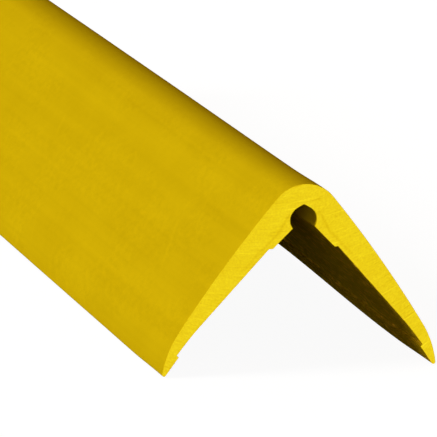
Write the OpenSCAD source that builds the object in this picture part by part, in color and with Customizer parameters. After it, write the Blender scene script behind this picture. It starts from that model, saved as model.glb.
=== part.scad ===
/* [Length] */

// Length of the guard, sawn square at both ends
guard_l = 500; // [100:10:2000]

/* [Inner faces] */

// Flat land on each leg, from the inner corner to the tape recess
land_w = 16.3; // [12:0.1:30]

// Width of the shallow recess that takes the adhesive tape
tape_w = 50; // [25:1:100]

// Depth of the tape recess
tape_t = 1; // [0.4:0.1:2]

// Lip past the tape recess, up to the end of the nose
lip_w = 8.6; // [5:0.1:20]

// Angle by which the floor of the recess leans in from the land
floor_lean = 2.6; // [0:0.1:4]

// Angle by which the lip leans in from the land
lip_lean = 9.3; // [6:0.1:12]

// Radius of the bend that leads the floor into the lean of the lip
bend_r = 120; // [40:5:200]

/* [Outer faces] */

// Height of the crown above the inner corner
crown_h = 11.8; // [10:0.1:16]

// Radius of the crown
crown_r = 13.6; // [12:0.1:18]

// Radius of the long flank of each leg
flank_r = 470; // [250:10:900]

// Thickness of the leg at the start of the lip, up to the flank's curve
toe_t = 5.1; // [4:0.1:8]

// Radius that brings the flank round to the nose
toe_r = 35; // [20:1:60]

// Radius of the nose at the end of each leg
nose_r = 1; // [0.5:0.1:1.5]

/* [Relief channel] */

// Diameter of the channel that runs along the inner corner
channel_d = 9.9; // [8:0.1:12]

// Distance from the inner corner down to the channel's centre
channel_drop = 1.5; // [1:0.1:2.5]

// Pitch of the two flats that close the channel's round in a ridge
roof_deg = 29; // [20:1:45]

/* [Hidden] */

// Angle between each leg's land and the guard's upright plane of symmetry
leg_deg = 45;

// Largest gap between a round stretch of the outline and its chords
chord_gap = 0.005;

// How far inside the channel's round the flats of its roof run out
roof_lap = 0.002;

// A leg is drawn in its own plane: x runs from the inner corner to the nose,
// y points out of the guard, and angles are counted from y towards x
function dir(deg) = [sin(deg), cos(deg)];
function along(deg) = [cos(deg), -sin(deg)];
function heading(v) = atan2(v.x, v.y);

// A leg's point in the plane of the section
function placed(p) = p.x * along(leg_deg) + p.y * dir(leg_deg);

// The point ra away from a and rb away from b, to the left on the way from a to b
function meet(a, ra, b, rb) =
    let (span = norm(b - a))
    let (u = (b - a) / span)
    let (reach = (ra * ra - rb * rb + span * span) / (2 * span))
    a + reach * u + sqrt(ra * ra - reach * reach) * [-u.y, u.x];

// Points of an arc, without its first
function arc(c, r, from_deg, to_deg) =
    let (steps = ceil(abs(to_deg - from_deg) / (2 * acos(1 - chord_gap / r))))
    [for (i = [1:steps]) c + r * dir(from_deg + (to_deg - from_deg) * i / steps)];

// Inner side: the floor of the recess, its bend, and the lip
floor_from = [land_w + tape_t, tape_t];
bend_w = bend_r * (sin(lip_lean) - sin(floor_lean));
bend_c = floor_from + (tape_w - bend_w) * [1, -tan(floor_lean)] - bend_r * dir(floor_lean);
floor_to = bend_c + bend_r * dir(lip_lean);
lip_from = floor_to - tape_t * dir(lip_lean);
nose_c = lip_from + (lip_w - nose_r) * along(lip_lean) + nose_r * dir(lip_lean);

// Outer side: each arc leaves the one before it on a shared tangent
crown_c = (crown_r - crown_h) * dir(90 + leg_deg);
flank_c = meet(lip_from + toe_t * dir(lip_lean), flank_r, crown_c, flank_r - crown_r);
toe_c = meet(flank_c, flank_r - toe_r, nose_c, toe_r - nose_r);
crown_deg = heading(crown_c - flank_c);
flank_deg = heading(toe_c - flank_c);
toe_deg = heading(nose_c - toe_c);

// Outline of one leg, from the crown round the nose to the end of the land
leg = concat(
    arc(crown_c, crown_r, -leg_deg, crown_deg),
    arc(flank_c, flank_r, crown_deg, flank_deg),
    arc(toe_c, toe_r, flank_deg, toe_deg),
    arc(nose_c, nose_r, toe_deg, 180 + lip_lean),
    [lip_from, floor_to],
    arc(bend_c, bend_r, lip_lean, floor_lean),
    [floor_from, [land_w, 0]]
);
right = [for (p = leg) placed(p)];
left = [for (i = [len(right) - 1:-1:0]) [-right[i].x, right[i].y]];

// The guard lies on its two noses, crown up
rest_h = nose_r - placed(nose_c).y;

// Relief channel: a round that two flats close in a ridge
module channel() {
    r = channel_d / 2;
    flat = r - roof_lap;
    translate([0, -channel_drop]) {
        circle(r);
        polygon([[0, 0], flat * dir(-roof_deg), [0, flat / cos(roof_deg)], flat * dir(roof_deg)]);
    }
}

module section() {
    difference() {
        polygon(concat([[0, crown_h]], right, [[0, 0]], left));
        channel();
    }
}

module corner_guard() {
    color([0.81, 0.67, 0.03])
        translate([0, guard_l / 2, rest_h])
            rotate([90, 0, 0])
                linear_extrude(guard_l)
                    section($fn = 96);
}

corner_guard();
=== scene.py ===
import math

import bpy
import numpy as np
from mathutils import Euler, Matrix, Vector


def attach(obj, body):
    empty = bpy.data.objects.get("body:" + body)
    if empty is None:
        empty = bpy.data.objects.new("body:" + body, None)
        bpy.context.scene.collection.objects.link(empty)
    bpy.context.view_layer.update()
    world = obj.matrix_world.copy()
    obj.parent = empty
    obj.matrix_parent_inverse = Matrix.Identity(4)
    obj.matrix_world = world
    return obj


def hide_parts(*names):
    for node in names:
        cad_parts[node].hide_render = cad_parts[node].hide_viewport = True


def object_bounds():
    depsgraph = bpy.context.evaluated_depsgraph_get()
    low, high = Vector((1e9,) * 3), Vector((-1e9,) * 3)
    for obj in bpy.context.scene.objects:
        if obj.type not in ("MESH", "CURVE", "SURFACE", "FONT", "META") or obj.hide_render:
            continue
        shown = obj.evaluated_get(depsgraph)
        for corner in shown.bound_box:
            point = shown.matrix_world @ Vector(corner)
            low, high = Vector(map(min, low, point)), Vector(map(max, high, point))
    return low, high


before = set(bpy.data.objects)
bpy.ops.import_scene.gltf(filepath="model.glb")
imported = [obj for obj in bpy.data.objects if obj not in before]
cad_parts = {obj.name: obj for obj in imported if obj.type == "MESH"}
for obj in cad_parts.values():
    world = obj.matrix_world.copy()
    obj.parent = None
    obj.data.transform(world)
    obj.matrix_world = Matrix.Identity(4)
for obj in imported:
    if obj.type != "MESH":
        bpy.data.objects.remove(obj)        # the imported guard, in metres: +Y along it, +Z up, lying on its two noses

# A yellow rubber corner guard that lies crown up, with a sawn end towards the camera
mm = 0.001
maths = "ShaderNodeMath"
ramp = "ShaderNodeMapRange"
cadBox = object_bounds()
print("stage: frame loaded")


# Turns an sRGB hex code into the linear colour that a shader takes
def linearColour(hexCode):
    levels = [int(hexCode[i:i + 2], 16) / 255 for i in (1, 3, 5)]
    return [v / 12.92 if v <= 0.04045 else ((v + 0.055) / 1.055) ** 2.4 for v in levels] + [1]


def linearGrey(level):
    return (level, level, level, 1)


# Adds a node; inputs gives, by a socket's name or number, its value or the output that feeds it
def addNode(tree, kind, inputs=None, **settings):
    node = tree.nodes.new(kind)
    for name, value in settings.items():
        setattr(node, name, value)
    for socket, value in (inputs or {}).items():
        if isinstance(value, bpy.types.NodeSocket):
            tree.links.new(value, node.inputs[socket])
        else:
            node.inputs[socket].default_value = value
    return node


def emptyMaterial(name):
    material = bpy.data.materials.new(name)
    material.use_nodes = True
    material.node_tree.nodes.clear()
    return material


# Noise drawn out to a size across the pattern and one along it; the seed moves on through the noise,
# and so does the pattern's own depth where depthScale isn't 0
def drawnOut(tree, pattern, sizes, seed, depthScale=0, detail=2):
    sized = addNode(tree, "ShaderNodeVectorMath",
                    {0: pattern, 1: (1 / sizes[0], 1 / sizes[1], depthScale), 2: (0, 0, seed)},
                    operation="MULTIPLY_ADD").outputs[0]
    return addNode(tree, "ShaderNodeTexNoise", {"Vector": sized, "Scale": 1, "Detail": detail}).outputs[0]


# Adds a finish's layers of noise to a tone that starts half way between its two colours, the patchy ones
# as strong as handled says; returns the tone and each layer's own noise
def layeredTone(tree, finish, pattern, handled=None):
    halfWay = 0.5
    tone, noise = halfWay, {}
    for number, (name, (across, along, share)) in enumerate(finish["layers"].items()):
        seed = finish["layerSeed"] * number
        noise[name] = drawnOut(tree, pattern, (across, along), seed, finish["depthScale"])
        swing = addNode(tree, maths, {0: noise[name], 1: halfWay}, operation="SUBTRACT").outputs[0]
        if name in finish["patchy"]:
            swing = addNode(tree, maths, {0: swing, 1: handled}, operation="MULTIPLY").outputs[0]
        tone = addNode(tree, maths, {0: swing, 1: share, 2: tone},
                       operation="MULTIPLY_ADD", label=name).outputs[0]
    return tone, noise


# Ends a material of dull rubber, with its colour and the noise that gives its relief
def dullSurface(tree, finish, colour, height):
    bump = addNode(tree, "ShaderNodeBump", {"Height": height, "Distance": finish["relief"], "Strength": 1})
    shader = addNode(tree, "ShaderNodeBsdfPrincipled",
                     {"Base Color": colour, "Normal": bump.outputs[0],
                      "Roughness": finish["roughness"], "Specular IOR Level": finish["gloss"]})
    addNode(tree, "ShaderNodeOutputMaterial", {"Surface": shader.outputs[0]})


# The camera stands in front of the sawn end, a little to its left and above it
view = {
    "aim": (-0.029025, -0.24, 0.054325),    # a point in the middle of the picture, metres
    "distance": 1.82049,                    # metres
    "turn": 17.2748,                        # it looks this many degrees from +Y towards +X
    "down": 12.7087,                        # and this many below level
    "roll": 1.6792,                         # with its right side raised by this many
    "lens": 421.66,                         # mm
    "sensor": 36,                           # mm
}


def placeCamera():
    lens = bpy.data.cameras.new("pictureCamera")
    lens.lens = view["lens"]
    lens.sensor_width = view["sensor"]
    camera = bpy.data.objects.new("pictureCamera", lens)
    bpy.context.scene.collection.objects.link(camera)
    level = Euler((math.radians(90 - view["down"]), 0, math.radians(-view["turn"]))).to_matrix()
    roll = Euler((0, 0, math.radians(view["roll"]))).to_matrix()
    camera.rotation_euler = (level @ roll).to_euler()
    camera.location = Vector(view["aim"]) + view["distance"] * level.col[2]
    bpy.context.scene.camera = camera


placeCamera()
print("stage: camera placed")


# The guard's section, in millimetres and degrees; its length comes from the frame. Lips, noses and
# channel are measured a little more finely than in the solids.
section = {
    "cornerHeight": 56.24,            # height of the inner corner
    "landWidth": 16.3,                # inner corner to tape recess
    "tapeWidth": 50,
    "tapeDepth": 1,
    "lipWidth": 8.85,
    "floorLean": 2.6,                 # the recess's floor leans in by this much up to its bend
    "lipLean": 9.3,                   # and by this much after it, as the lip does
    "bendRadius": 120,
    "crownHeight": 11.8,              # over the inner corner
    "crownRadius": 13.6,
    "flankRadius": 470,
    "toeThickness": 5.1,
    "toeRadius": 35,
    "noseRadius": 0.75,
    "channelRadius": 4.95,
    "channelDrop": 1.5,               # inner corner down to the channel's centre
    "channelShift": (-0.46, 0.28),    # from there, as the die's core stands off: across and up
    "channelRoof": 29,                # pitch of the roof's two flats
    "softness": 0.16,                 # spread of the blur that rounds corners, as the die leaves them
    "softReach": 6,                   # the blur ends this many spreads out
    "sameSpot": 0.000001,             # points closer than this are one
    "fineStep": 0.04,                 # the outline is drawn in steps of this length, then thinned
    "turnStep": 5,                    # a point is kept each time it has turned by this much
    "longStep": 4,                    # or run on by this much
    "stepGrowth": 0.7,                # such steps grow no faster than this along the outline
}


# In a leg's own plane x runs from the inner corner to the nose and y out of the guard, and an angle is
# measured from y towards x
straightUp = -45


def legDirection(degrees):
    angle = math.radians(degrees)
    return np.array([math.sin(angle), math.cos(angle)])


def legHeading(step):
    return math.degrees(math.atan2(step[0], step[1]))


# The point at one distance from a and another from b, to the left on the way from a to b
def meetingPoint(a, fromA, b, fromB):
    span = np.linalg.norm(b - a)
    way = (b - a) / span
    reach = (fromA ** 2 - fromB ** 2 + span ** 2) / (2 * span)
    return a + reach * way + math.sqrt(fromA ** 2 - reach ** 2) * np.array([-way[1], way[0]])


def arcPoints(centre, radius, start, stop):
    steps = math.ceil(radius * math.radians(abs(stop - start)) / section["fineStep"])
    return [centre + radius * legDirection(angle) for angle in np.linspace(start, stop, steps + 1)]


# Half of the outline, from the top of the crown round a nose to the ridge of the channel, across and up
# from the inner corner; side is 1 for the right leg and -1 for the left
def halfOutline(side):
    s = section
    lipWay = legDirection(90 + s["lipLean"])
    lipOut = legDirection(s["lipLean"])
    recessStart = np.array([s["landWidth"] + s["tapeDepth"], s["tapeDepth"]])
    turned = math.sin(math.radians(s["lipLean"])) - math.sin(math.radians(s["floorLean"]))
    straight = s["tapeWidth"] - s["bendRadius"] * turned
    floorEnd = recessStart + straight * np.array([1, -math.tan(math.radians(s["floorLean"]))])
    bend = floorEnd - s["bendRadius"] * legDirection(s["floorLean"])
    recessEnd = bend + s["bendRadius"] * lipOut
    lipStart = recessEnd - s["tapeDepth"] * lipOut

    # Outside: each arc leaves the last one on a shared tangent
    nose = lipStart + (s["lipWidth"] - s["noseRadius"]) * lipWay + s["noseRadius"] * lipOut
    crown = (s["crownRadius"] - s["crownHeight"]) * legDirection(straightUp + 180)
    flank = meetingPoint(lipStart + s["toeThickness"] * lipOut, s["flankRadius"],
                         crown, s["flankRadius"] - s["crownRadius"])
    toe = meetingPoint(flank, s["flankRadius"] - s["toeRadius"], nose, s["toeRadius"] - s["noseRadius"])
    crownEnd, flankEnd, toeEnd = legHeading(crown - flank), legHeading(toe - flank), legHeading(nose - toe)

    # Channel: its mouth is where the round meets the land, its roof where the flats leave the round
    across, up = side * s["channelShift"][0], s["channelShift"][1]
    shift = np.array([across - up, across + up]) / math.sqrt(2)
    channel = s["channelDrop"] * legDirection(straightUp + 180) + shift
    mouth = math.degrees(math.acos(-channel[1] / s["channelRadius"]))
    roof = straightUp + s["channelRoof"]
    ridge = channel + s["channelRadius"] / math.cos(math.radians(s["channelRoof"])) * legDirection(straightUp)
    leg = np.array(arcPoints(crown, s["crownRadius"], straightUp, crownEnd)
                   + arcPoints(flank, s["flankRadius"], crownEnd, flankEnd)
                   + arcPoints(toe, s["toeRadius"], flankEnd, toeEnd)
                   + arcPoints(nose, s["noseRadius"], toeEnd, 180 + s["lipLean"])
                   + [lipStart, recessEnd]
                   + arcPoints(bend, s["bendRadius"], s["lipLean"], s["floorLean"])
                   + [recessStart, np.array([s["landWidth"], 0])]
                   + arcPoints(channel, s["channelRadius"], mouth, roof)
                   + [ridge])
    return np.stack([side * (leg[:, 0] + leg[:, 1]), leg[:, 1] - leg[:, 0]], 1) / math.sqrt(2)


# Closed outline, counter-clockwise from the channel's ridge; with it, each point's outward direction
# and its distance round the section from the top of the crown
def guardOutline():
    right, left = halfOutline(1), halfOutline(-1)
    loop = np.concatenate([right[::-1], left])
    loop = loop[np.linalg.norm(loop - np.roll(loop, -1, 0), axis=1) > section["sameSpot"]]

    # Even fine steps, then a short blur: it rounds the corners and leaves the long arcs as they are
    closed = np.concatenate([loop, loop[:1]])
    reach = np.concatenate([[0], np.cumsum(np.linalg.norm(np.diff(closed, axis=0), axis=1))])
    top = reach[len(right) - 1]
    even = np.linspace(0, reach[-1], round(reach[-1] / section["fineStep"]), endpoint=False)
    fine = np.stack([np.interp(even, reach, closed[:, k]) for k in (0, 1)], 1)
    blurSteps = round(section["softReach"] * section["softness"] / section["fineStep"])
    offsets = np.arange(-blurSteps, blurSteps + 1)
    weights = np.exp(-0.5 * (offsets * section["fineStep"] / section["softness"]) ** 2)
    soft = sum(w * np.roll(fine, -k, 0) for k, w in zip(offsets, weights / weights.sum()))

    # Keep many points where the outline bends and few where it runs straight
    way = np.roll(soft, -1, 0) - np.roll(soft, 1, 0)
    outward = np.stack([way[:, 1], -way[:, 0]], 1) / np.linalg.norm(way, axis=1)[:, None]
    heading = np.unwrap(np.arctan2(way[:, 1], way[:, 0]))
    bend = np.degrees(np.abs(np.gradient(heading))) / section["fineStep"]
    spacing = section["turnStep"] / np.maximum(bend, section["turnStep"] / section["longStep"])
    growth = section["stepGrowth"] * section["fineStep"]
    count = len(spacing)
    for onward in (1, -1):
        for k in np.arange(2 * count)[::onward] % count:
            spacing[k] = min(spacing[k], spacing[(k - onward) % count] + growth)
    passed = np.floor(np.cumsum(section["fineStep"] / np.maximum(spacing, section["fineStep"])))
    kept = np.flatnonzero(np.diff(passed, prepend=-1))
    soft[:, 1] += section["cornerHeight"]
    return soft[kept] * mm, outward[kept], (even[kept] - top) * mm


# How the section runs along the guard
guard = {
    "rings": 101,                # along the whole length
    "ringGrowth": 1.5,           # power by which their steps grow away from the sawn ends
    "edgeRadius": 0.12 * mm,     # edges of the sawn ends
    "edgeRings": 4,
    "spread": 1.6,               # degrees by which each leg opens away from the sawn ends
    "spreadFrom": 45 * mm,       # distance from the end where that starts
    "spreadTo": 200 * mm,        # and where it is complete
    "drop": 0.6 * mm,            # the sawn ends stand this much higher than the rest
    "dropTo": 40 * mm,
    "hinge": 8 * mm,             # half the width of the crown, which takes the bend
    "hingeHeight": 64 * mm,
    "sawnFacing": 0.999,         # a face that looks along the guard by more than this is a sawn one
}


# The outline swept along the guard, drawn upright here and laid down at the end
def extrusionTree():
    tree = bpy.data.node_groups.new("extrudeGuard", "GeometryNodeTree")
    socket = tree.interface.new_socket
    socket("Outline", in_out="INPUT", socket_type="NodeSocketGeometry")
    for name in ("Length", "Ring Growth", "Edge Radius", "Spread", "Spread From", "Spread To",
                 "Drop", "Drop To", "Hinge", "Hinge Height", "Sawn Facing"):
        socket(name, in_out="INPUT", socket_type="NodeSocketFloat")
    for name in ("Rings", "Edge Rings"):
        socket(name, in_out="INPUT", socket_type="NodeSocketInt")
    for name in ("Skin", "Sawn End"):
        socket(name, in_out="INPUT", socket_type="NodeSocketMaterial")
    socket("Guard", in_out="OUTPUT", socket_type="NodeSocketGeometry")
    given = addNode(tree, "NodeGroupInput").outputs

    # Each ring's place from its number: a quarter round at the sawn edge, then steps that grow
    number = addNode(tree, "GeometryNodeInputIndex").outputs[0]
    last = addNode(tree, maths, {0: given["Rings"], 1: 1}, operation="SUBTRACT").outputs[0]
    middle = addNode(tree, maths, {0: last, 1: 2}, operation="DIVIDE").outputs[0]
    fromLast = addNode(tree, maths, {0: last, 1: number}, operation="SUBTRACT").outputs[0]
    fromEnd = addNode(tree, maths, {0: number, 1: fromLast}, operation="MINIMUM").outputs[0]
    turn = addNode(tree, ramp,
                   {0: fromEnd, "From Max": given["Edge Rings"], "To Max": math.pi / 2}).outputs[0]
    cosine = addNode(tree, maths, {0: turn}, operation="COSINE").outputs[0]
    sine = addNode(tree, maths, {0: turn}, operation="SINE").outputs[0]
    rise = addNode(tree, maths, {0: 1, 1: cosine}, operation="SUBTRACT").outputs[0]
    draw = addNode(tree, maths, {0: 1, 1: sine}, operation="SUBTRACT").outputs[0]
    inset = addNode(tree, maths, {0: draw, 1: given["Edge Radius"]}, operation="MULTIPLY").outputs[0]
    plain = addNode(tree, ramp, {0: fromEnd, "From Min": given["Edge Rings"], "From Max": middle}).outputs[0]
    growing = addNode(tree, maths, {0: plain, 1: given["Ring Growth"]}, operation="POWER").outputs[0]
    half = addNode(tree, maths, {0: given["Length"], 1: 2}, operation="DIVIDE").outputs[0]
    body = addNode(tree, maths, {0: half, 1: given["Edge Radius"]}, operation="SUBTRACT").outputs[0]
    beyond = addNode(tree, maths, {0: growing, 1: body}, operation="MULTIPLY").outputs[0]
    depth = addNode(tree, maths, {0: rise, 1: given["Edge Radius"], 2: beyond},
                    operation="MULTIPLY_ADD").outputs[0]
    reach = addNode(tree, maths, {0: half, 1: depth}, operation="SUBTRACT").outputs[0]
    past = addNode(tree, maths, {0: number, 1: middle}, operation="SUBTRACT").outputs[0]
    side = addNode(tree, maths, {0: past}, operation="SIGN").outputs[0]
    level = addNode(tree, maths, {0: side, 1: reach}, operation="MULTIPLY").outputs[0]
    spot = addNode(tree, "ShaderNodeCombineXYZ", {"Z": level}).outputs[0]

    line = addNode(tree, "GeometryNodeMeshLine", {"Count": given["Rings"]}).outputs[0]
    path = addNode(tree, "GeometryNodeMeshToCurve", {0: line}).outputs[0]
    named = addNode(tree, "GeometryNodeStoreNamedAttribute",
                    {"Geometry": path, "Name": "inset", "Value": inset},
                    data_type="FLOAT", domain="POINT").outputs[0]
    spaced = addNode(tree, "GeometryNodeSetPosition", {"Geometry": named, "Position": spot}).outputs[0]
    outline = addNode(tree, "GeometryNodeMeshToCurve", {0: given["Outline"]}).outputs[0]
    swept = addNode(tree, "GeometryNodeCurveToMesh",
                    {"Curve": spaced, "Profile Curve": outline, "Fill Caps": True}).outputs[0]

    # Draw the end rings in, to round the sawn edges
    outward = addNode(tree, "GeometryNodeInputNamedAttribute", {"Name": "outward"},
                      data_type="FLOAT_VECTOR").outputs[0]
    drawn = addNode(tree, "GeometryNodeInputNamedAttribute", {"Name": "inset"}, data_type="FLOAT").outputs[0]
    back = addNode(tree, maths, {0: drawn, 1: -1}, operation="MULTIPLY").outputs[0]
    shift = addNode(tree, "ShaderNodeVectorMath", {0: outward, "Scale": back}, operation="SCALE").outputs[0]
    rounded = addNode(tree, "GeometryNodeSetPosition", {"Geometry": swept, "Offset": shift}).outputs[0]

    # Turn each leg outwards about the crown, more and more away from the ends, and let the guard sink
    now = addNode(tree, "GeometryNodeInputPosition").outputs[0]
    axes = addNode(tree, "ShaderNodeSeparateXYZ", {0: now}).outputs
    distance = addNode(tree, maths, {0: axes["Z"]}, operation="ABSOLUTE").outputs[0]
    fromSaw = addNode(tree, maths, {0: half, 1: distance}, operation="SUBTRACT").outputs[0]
    opened = addNode(tree, ramp,
                     {0: fromSaw, "From Min": given["Spread From"], "From Max": given["Spread To"],
                      "To Max": given["Spread"]}, interpolation_type="SMOOTHSTEP").outputs[0]
    hingeLeft = addNode(tree, maths, {0: given["Hinge"], 1: -1}, operation="MULTIPLY").outputs[0]
    share = addNode(tree, ramp,
                    {0: axes["X"], "From Min": hingeLeft, "From Max": given["Hinge"], "To Min": -1},
                    interpolation_type="SMOOTHSTEP").outputs[0]
    angle = addNode(tree, maths, {0: opened, 1: share}, operation="MULTIPLY").outputs[0]
    pin = addNode(tree, "ShaderNodeCombineXYZ", {"Y": given["Hinge Height"]}).outputs[0]
    turned = addNode(tree, "ShaderNodeVectorRotate", {"Vector": now, "Center": pin, "Angle": angle},
                     rotation_type="Z_AXIS").outputs[0]
    fallen = addNode(tree, ramp, {0: fromSaw, "From Max": given["Drop To"], "To Max": given["Drop"]},
                     interpolation_type="SMOOTHSTEP").outputs[0]
    lower = addNode(tree, maths, {0: fallen, 1: -1}, operation="MULTIPLY").outputs[0]
    sunk = addNode(tree, "ShaderNodeCombineXYZ", {"Y": lower}).outputs[0]
    eased = addNode(tree, "GeometryNodeSetPosition",
                    {"Geometry": rounded, "Position": turned, "Offset": sunk}).outputs[0]
    laid = addNode(tree, "GeometryNodeTransform",
                   {"Geometry": eased, "Rotation": (math.radians(90), 0, 0)}).outputs[0]

    # The two end faces are flat and sawn, the rest is smooth skin
    normal = addNode(tree, "GeometryNodeInputNormal").outputs[0]
    facing = addNode(tree, "ShaderNodeSeparateXYZ", {0: normal}).outputs["Y"]
    steep = addNode(tree, maths, {0: facing}, operation="ABSOLUTE").outputs[0]
    isSawn = addNode(tree, maths, {0: steep, 1: given["Sawn Facing"]}, operation="GREATER_THAN").outputs[0]
    smooth = laid
    for domain in ("EDGE", "FACE"):
        smooth = addNode(tree, "GeometryNodeSetShadeSmooth", {"Geometry": smooth, "Shade Smooth": True},
                         domain=domain).outputs[0]
    flat = addNode(tree, "GeometryNodeSetShadeSmooth",
                   {"Geometry": smooth, "Selection": isSawn, "Shade Smooth": False},
                   domain="FACE").outputs[0]
    real = addNode(tree, "GeometryNodeRealizeInstances", {"Geometry": flat}).outputs[0]
    skinned = addNode(tree, "GeometryNodeSetMaterial",
                      {"Geometry": real, "Material": given["Skin"]}).outputs[0]
    ended = addNode(tree, "GeometryNodeSetMaterial",
                    {"Geometry": skinned, "Selection": isSawn, "Material": given["Sawn End"]}).outputs[0]
    addNode(tree, "NodeGroupOutput", {"Guard": ended})
    return tree


# Extruded EPDM rubber, coloured right through. The die leaves a matt skin of a deep golden yellow with
# faint streaks along the length, and handling leaves it slightly cloudy.
skin = {
    "pale": "#D5B409",
    "deep": "#C7A605",
    "roughness": 0.8,
    "gloss": 0,                                # no reflection shows, not even along the ridge
    "relief": 0.015 * mm,                      # of the grain
    "layers": {                                # size round the section, along the guard, share of the tone
        "streaks": (6 * mm, 500 * mm, 1.2),
        "hairlines": (1.6 * mm, 300 * mm, 0.4),
        "clouds": (16 * mm, 34 * mm, 0.85),
        "mottle": (2.6 * mm, 4.4 * mm, 1.0),
        "grain": (0.6 * mm, 0.8 * mm, 0.9),    # finer on the real one, drawn just coarse enough to show
    },
    "layerSeed": 3.7,                          # each layer lies this much further into the noise
    "depthScale": 0,
    "patchy": ("mottle", "grain"),             # these are faint except in handled patches
    "patch": (18 * mm, 40 * mm),
    "patchSeed": 31.3,
    "patchRamp": {"From Min": 0.4, "From Max": 0.6, "To Min": 0.3, "To Max": 1.2},
    "scuff": (5 * mm, 60 * mm),                # pale rubs, aslant
    "scuffTurn": -50,
    "scuffSeed": 41.9,
    "scuffRamp": {"From Min": 0.66, "From Max": 0.76, "To Max": 0.3},
    "crown": "#BA9604",                        # painted shade: a browner, darker band along the crown's shaded side
    "crownShadeShare": 0.52,
    "crownMiddle": -3 * mm,                    # the painted shade is fullest a little to the right of the top, on the side away from the light
    "crownCore": 2 * mm,                       # and starts to fade this far from there
    "crownReach": 10 * mm,                     # at the sawn end it is gone this far from there
    "crownWide": 24 * mm,                      # and further along only this far from there
    "crownRun": 150 * mm,                      # length over which it widens
    "flankLength": 88 * mm,                    # from the top of the crown round to a nose
    "mouthLength": 160.6 * mm,                 # and from the top round to the channel's mouth
    "inside": "#B88202",                       # the faces between those two, in the guard's shade, get painted shade: a browner, darker yellow
    "insideShadeShare": 0.3,
    "dust": "#F7C02C",                         # and hold dust
    "dustSpeck": (1.7 * mm, 6 * mm),
    "dustSeed": 53.7,
    "dustRamp": {"From Min": 0.52, "From Max": 0.7},
    "stepShade": "#6B4A02",                        # painted shade darkens the step where the tape recess ends
    "stepShadeShare": 0.4,
    "stepLength": 97.94 * mm,                  # from the top of the crown round to the step's middle
    "stepReach": 0.55 * mm,                    # from its middle to its edges
}


def extrudedSkin():
    material = emptyMaterial("extrudedRubberSkin")
    tree = material.node_tree
    place = addNode(tree, "ShaderNodeTexCoord").outputs["Object"]
    along = addNode(tree, "ShaderNodeSeparateXYZ", {0: place}).outputs["Y"]
    girth = addNode(tree, "ShaderNodeAttribute", attribute_name="girth").outputs["Fac"]
    unrolled = addNode(tree, "ShaderNodeCombineXYZ", {"X": girth, "Y": along}).outputs[0]

    # Tone: the layers, then the rubs over them
    patches = drawnOut(tree, unrolled, skin["patch"], skin["patchSeed"])
    handled = addNode(tree, ramp, {0: patches, **skin["patchRamp"]},
                      interpolation_type="SMOOTHSTEP").outputs[0]
    tone, noise = layeredTone(tree, skin, unrolled, handled)
    slanted = addNode(tree, "ShaderNodeVectorRotate",
                      {"Vector": unrolled, "Angle": math.radians(skin["scuffTurn"])},
                      rotation_type="Z_AXIS").outputs[0]
    scuffs = drawnOut(tree, slanted, skin["scuff"], skin["scuffSeed"])
    scuff = addNode(tree, ramp, {0: scuffs, **skin["scuffRamp"]}).outputs[0]
    rubbed = addNode(tree, maths, {0: tone, 1: scuff}, operation="ADD").outputs[0]

    # Crown: painted shade, a browner band on the side away from the light
    offMiddle = addNode(tree, maths, {0: girth, 1: skin["crownMiddle"]}, operation="SUBTRACT").outputs[0]
    fromMiddle = addNode(tree, maths, {0: offMiddle}, operation="ABSOLUTE").outputs[0]
    nearEnd = cadBox[0][1]
    gone = addNode(tree, ramp, {0: along, "From Min": nearEnd, "From Max": nearEnd + skin["crownRun"],
                                "To Min": skin["crownReach"], "To Max": skin["crownWide"]}).outputs[0]
    crownShade = addNode(tree, ramp, {0: fromMiddle, "From Min": skin["crownCore"], "From Max": gone,
                                    "To Min": skin["crownShadeShare"], "To Max": 0},
                       interpolation_type="SMOOTHSTEP").outputs[0]

    # Inner faces up to the channel: painted shade that makes them browner, their dust, and painted shade on the step
    fromTop = addNode(tree, maths, {0: girth}, operation="ABSOLUTE").outputs[0]
    innerHalf = (skin["mouthLength"] - skin["flankLength"]) / 2
    inside = addNode(tree, maths, {0: fromTop, 1: skin["flankLength"] + innerHalf, 2: innerHalf},
                     operation="COMPARE").outputs[0]
    insideShade = addNode(tree, maths, {0: inside, 1: skin["insideShadeShare"]}, operation="MULTIPLY").outputs[0]
    specks = drawnOut(tree, unrolled, skin["dustSpeck"], skin["dustSeed"])
    speck = addNode(tree, ramp, {0: specks, **skin["dustRamp"]}).outputs[0]
    dusty = addNode(tree, maths, {0: inside, 1: speck}, operation="MULTIPLY").outputs[0]
    # painted shade along the step where the tape recess ends
    onStep = addNode(tree, maths, {0: fromTop, 1: skin["stepLength"], 2: skin["stepReach"]},
                     operation="COMPARE").outputs[0]
    stepShaded = addNode(tree, maths, {0: onStep, 1: skin["stepShadeShare"]}, operation="MULTIPLY").outputs[0]

    shares = {"pale": rubbed, "crown": crownShade, "inside": insideShade, "dust": dusty, "stepShade": stepShaded}
    colour = linearColour(skin["deep"])
    for name, share in shares.items():
        colour = addNode(tree, "ShaderNodeMix", {0: share, 6: colour, 7: linearColour(skin[name])},
                         data_type="RGBA", label=name).outputs[2]
    dullSurface(tree, skin, colour, noise["grain"])
    return material


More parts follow.
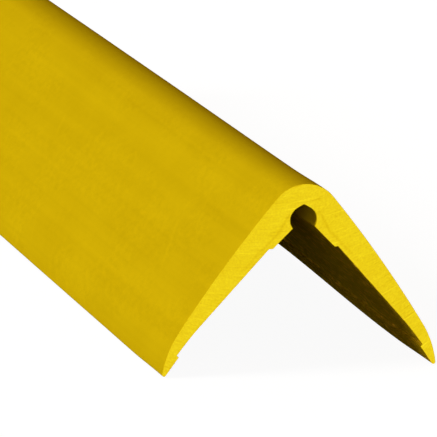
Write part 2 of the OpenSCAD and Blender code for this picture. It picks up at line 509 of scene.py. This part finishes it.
# The same rubber where the saw has opened it: paler and dull, with the teeth's fine marks in shallow
# arcs. A darker line shows where the rubber flowed together in the die, along the inner faces.
sawn = {
    "pale": "#FEE724",
    "deep": "#E2BE0B",
    "roughness": 0.9,
    "gloss": 0,
    "relief": 0.02 * mm,           # of the tooth marks
    "bladeRadius": 105 * mm,
    "bladeMiddle": -15 * mm,       # across the guard, from its middle
    "depthScale": 9,               # shift of the marks with each metre, so that the two ends differ
    "layers": {                    # size across the guard, size over the blade's arc, share of the tone
        "toothMarks": (5 * mm, 0.6 * mm, 0.4),
        "specks": (0.8 * mm, 0.7 * mm, 0.9),
        "blotches": (4 * mm, 4 * mm, 0.35),
        "bands": (30 * mm, 7 * mm, 0.25),
    },
    "layerSeed": 5.3,
    "patchy": (),
    "scores": {                    # lone scratches, pale ones and dark ones
        "pale": (13 * mm, 0.8 * mm, 0.38),
        "dark": (9 * mm, 0.7 * mm, -0.38),
    },
    "scoreSeeds": {"pale": 70, "dark": 76.1},
    "scoreRamp": {"From Min": 0.62, "From Max": 0.72},
    "flowFrom": 4 * mm,            # the flow line starts here, down a leg from the inner corner
    "flowStart": 4.6 * mm,         # this deep in the rubber, close to the channel
    "flowBend": 10.5 * mm,         # from here on
    "flowDepth": 2.7 * mm,         # it keeps this depth
    "flowTo": 32 * mm,             # and here it ends
    "flowFade": 0.5,               # it fades in and out from this share of flowFrom and flowTo
    "flowWidth": 0.9 * mm,
    "flowShare": 0.3,
}


def sawnEnd():
    material = emptyMaterial("sawnRubberEnd")
    tree = material.node_tree
    place = addNode(tree, "ShaderNodeTexCoord").outputs["Object"]
    axes = addNode(tree, "ShaderNodeSeparateXYZ", {0: place}).outputs

    # Height of a point over the arc that one tooth cut, so that each mark bends round the blade
    across = addNode(tree, maths, {0: axes["X"], 1: sawn["bladeMiddle"]}, operation="SUBTRACT").outputs[0]
    squared = addNode(tree, maths, {0: across, 1: across}, operation="MULTIPLY").outputs[0]
    over = addNode(tree, maths, {0: sawn["bladeRadius"] ** 2, 1: squared}, operation="SUBTRACT").outputs[0]
    sagged = addNode(tree, maths, {0: over}, operation="SQRT").outputs[0]
    tooth = addNode(tree, maths, {0: axes["Z"], 1: sagged}, operation="ADD").outputs[0]
    cut = addNode(tree, "ShaderNodeCombineXYZ", {"X": axes["X"], "Y": tooth, "Z": axes["Y"]}).outputs[0]
    tone, noise = layeredTone(tree, sawn, cut)
    for name, (wide, high, share) in sawn["scores"].items():
        scores = drawnOut(tree, cut, (wide, high), sawn["scoreSeeds"][name], sawn["depthScale"])
        score = addNode(tree, ramp, {0: scores, **sawn["scoreRamp"]}).outputs[0]
        tone = addNode(tree, maths, {0: score, 1: share, 2: tone},
                       operation="MULTIPLY_ADD", label=name).outputs[0]

    # Place of a point in its leg: along the inner face from the corner, and into the rubber
    sideways = addNode(tree, maths, {0: axes["X"]}, operation="ABSOLUTE").outputs[0]
    above = addNode(tree, maths, {0: axes["Z"], 1: section["cornerHeight"] * mm},
                    operation="SUBTRACT").outputs[0]
    down = addNode(tree, maths, {0: sideways, 1: above}, operation="SUBTRACT").outputs[0]
    into = addNode(tree, maths, {0: sideways, 1: above}, operation="ADD").outputs[0]
    run = addNode(tree, maths, {0: down, 1: math.sqrt(0.5)}, operation="MULTIPLY").outputs[0]
    depth = addNode(tree, maths, {0: into, 1: math.sqrt(0.5)}, operation="MULTIPLY").outputs[0]

    # The flow line keeps a depth, and fades in and out on its way down the leg
    level = addNode(tree, ramp, {0: run, "From Min": sawn["flowFrom"], "From Max": sawn["flowBend"],
                                 "To Min": sawn["flowStart"], "To Max": sawn["flowDepth"]}).outputs[0]
    off = addNode(tree, maths, {0: depth, 1: level}, operation="SUBTRACT").outputs[0]
    away = addNode(tree, maths, {0: off}, operation="ABSOLUTE").outputs[0]
    line = addNode(tree, ramp, {0: away, "From Max": sawn["flowWidth"], "To Min": 1, "To Max": 0},
                   interpolation_type="SMOOTHSTEP").outputs[0]
    starts = addNode(tree, ramp, {0: run, "From Min": sawn["flowFade"] * sawn["flowFrom"],
                                  "From Max": sawn["flowFrom"]}).outputs[0]
    stops = addNode(tree, ramp, {0: run, "From Min": sawn["flowFade"] * sawn["flowTo"],
                                 "From Max": sawn["flowTo"], "To Min": 1, "To Max": 0}).outputs[0]
    held = addNode(tree, maths, {0: starts, 1: stops}, operation="MULTIPLY").outputs[0]
    flow = addNode(tree, maths, {0: line, 1: held}, operation="MULTIPLY").outputs[0]
    shaded = addNode(tree, maths, {0: flow, 1: -sawn["flowShare"], 2: tone},
                     operation="MULTIPLY_ADD").outputs[0]
    colour = addNode(tree, "ShaderNodeMix",
                     {0: shaded, 6: linearColour(sawn["deep"]), 7: linearColour(sawn["pale"])},
                     data_type="RGBA").outputs[2]
    dullSurface(tree, sawn, colour, noise["toothMarks"])
    return material


def buildGuard():
    points, outward, girth = guardOutline()
    mesh = bpy.data.meshes.new("guardOutline")
    count = len(points)
    mesh.from_pydata([(x, y, 0) for x, y in points], [(k, (k + 1) % count) for k in range(count)], [])
    mesh.attributes.new("outward", "FLOAT_VECTOR", "POINT").data.foreach_set(
        "vector", np.concatenate([outward, np.zeros((count, 1))], 1).ravel())
    mesh.attributes.new("girth", "FLOAT", "POINT").data.foreach_set("value", girth)
    piece = bpy.data.objects.new("extrudedGuard", mesh)
    bpy.context.scene.collection.objects.link(piece)

    tree = extrusionTree()
    sweep = piece.modifiers.new("extrudeGuard", "NODES")
    sweep.node_group = tree
    inputs = {
        "Length": cadBox[1][1] - cadBox[0][1],
        "Rings": guard["rings"],
        "Ring Growth": guard["ringGrowth"],
        "Edge Radius": guard["edgeRadius"],
        "Edge Rings": guard["edgeRings"],
        "Spread": math.radians(guard["spread"]),
        "Spread From": guard["spreadFrom"],
        "Spread To": guard["spreadTo"],
        "Drop": guard["drop"],
        "Drop To": guard["dropTo"],
        "Hinge": guard["hinge"],
        "Hinge Height": guard["hingeHeight"],
        "Sawn Facing": guard["sawnFacing"],
        "Skin": extrudedSkin(),
        "Sawn End": sawnEnd(),
    }
    for item in tree.interface.items_tree:
        if item.name in inputs:
            sweep[item.identifier] = inputs[item.name]

    depsgraph = bpy.context.evaluated_depsgraph_get()
    swept = bpy.data.meshes.new_from_object(piece.evaluated_get(depsgraph),
                                            preserve_all_data_layers=True, depsgraph=depsgraph)
    piece.modifiers.clear()
    piece.data = swept
    bpy.data.meshes.remove(mesh)
    print("stage: guard extruded,", len(swept.polygons), "faces")
    return piece


guardPiece = buildGuard()
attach(guardPiece, "root")
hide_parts("corner_guard")


# The camera sees a white floor and backdrop. The guard itself gets little light from the floor, so that
# its inside stays dark.
room = {
    "size": 8,                  # metres
    "height": -0.89 * mm,       # just under the noses where they are lowest
    "floorGrey": 0.08,          # what the floor sends back at the guard
    "floorLift": 0.94,          # light that the floor adds for the camera
    "floorShade": 0.12,         # what it sends the camera of the lamps' light, so that a shadow shows
    "ambient": 0.21,
    "fillColour": "#FFE7CE",    # light from the room and from behind is a little warm
}


def buildFloor():
    edge = room["size"] / 2
    mesh = bpy.data.meshes.new("studioFloor")
    corners = [(-edge, -edge), (edge, -edge), (edge, edge), (-edge, edge)]
    mesh.from_pydata([(x, y, room["height"]) for x, y in corners], [], [(0, 1, 2, 3)])
    floor = bpy.data.objects.new("studioFloor", mesh)
    bpy.context.scene.collection.objects.link(floor)
    material = emptyMaterial("paleFloor")
    tree = material.node_tree
    seen = addNode(tree, "ShaderNodeLightPath").outputs["Is Camera Ray"]
    grey = addNode(tree, "ShaderNodeBsdfDiffuse", {"Color": linearGrey(room["floorGrey"])}).outputs[0]
    pale = addNode(tree, "ShaderNodeBsdfDiffuse", {"Color": linearGrey(room["floorShade"])}).outputs[0]
    lift = addNode(tree, "ShaderNodeEmission", {"Strength": room["floorLift"]}).outputs[0]
    white = addNode(tree, "ShaderNodeAddShader", {0: pale, 1: lift}).outputs[0]
    mixed = addNode(tree, "ShaderNodeMixShader", {0: seen, 1: grey, 2: white}).outputs[0]
    addNode(tree, "ShaderNodeOutputMaterial", {"Surface": mixed})
    mesh.materials.append(material)


def buildWorld():
    world = bpy.data.worlds.new("studio")
    bpy.context.scene.world = world
    world.use_nodes = True
    tree = world.node_tree
    tree.nodes.clear()
    rays = addNode(tree, "ShaderNodeLightPath").outputs
    shiny = addNode(tree, maths, {0: rays["Is Glossy Ray"], 1: rays["Is Transmission Ray"]},
                    operation="MAXIMUM").outputs[0]
    seen = addNode(tree, maths, {0: rays["Is Camera Ray"], 1: shiny}, operation="MAXIMUM").outputs[0]
    soft = addNode(tree, "ShaderNodeBackground",
                   {"Color": linearColour(room["fillColour"]), "Strength": room["ambient"]}).outputs[0]
    white = addNode(tree, "ShaderNodeBackground", {"Color": linearGrey(1), "Strength": 1}).outputs[0]
    mixed = addNode(tree, "ShaderNodeMixShader", {0: seen, 1: soft, 2: white}).outputs[0]
    addNode(tree, "ShaderNodeOutputWorld", {"Surface": mixed})


# Softbox lights, far off: the way to each, its light on a surface that faces it, and its width in degrees
lamps = {
    "sideSoftbox": {"towards": (-0.875, 0, 0.484), "light": 0.745, "width": 24, "colour": "#FFFFFF"},
    "frontSoftbox": {"towards": (-0.45, -0.89, 0.06), "light": 0.245, "width": 36, "colour": "#FFFFFF"},
    "frontLamp": {"towards": (0, -1, 0.015), "light": 0.672, "width": 1.5, "colour": "#FFFFFF"},
    "backLamp": {"towards": (-0.07, 1, 0.015), "light": 0.41, "width": 4, "colour": "#FFFFFF"},
    "backFill": {"towards": (0.75, 0.66, 0.02), "light": 0.25, "width": 12, "colour": room["fillColour"]},
}


def buildLamps():
    for name, lamp in lamps.items():
        data = bpy.data.lights.new(name, "SUN")
        data.energy = lamp["light"] * math.pi
        data.color = linearColour(lamp["colour"])[:3]
        data.angle = math.radians(lamp["width"])
        light = bpy.data.objects.new(name, data)
        light.rotation_euler = Vector(lamp["towards"]).to_track_quat("Z", "Y").to_euler()
        bpy.context.scene.collection.objects.link(light)


buildFloor()
buildWorld()
buildLamps()
bpy.context.scene.view_settings.view_transform = "Standard"
print("stage: floor and lights set")
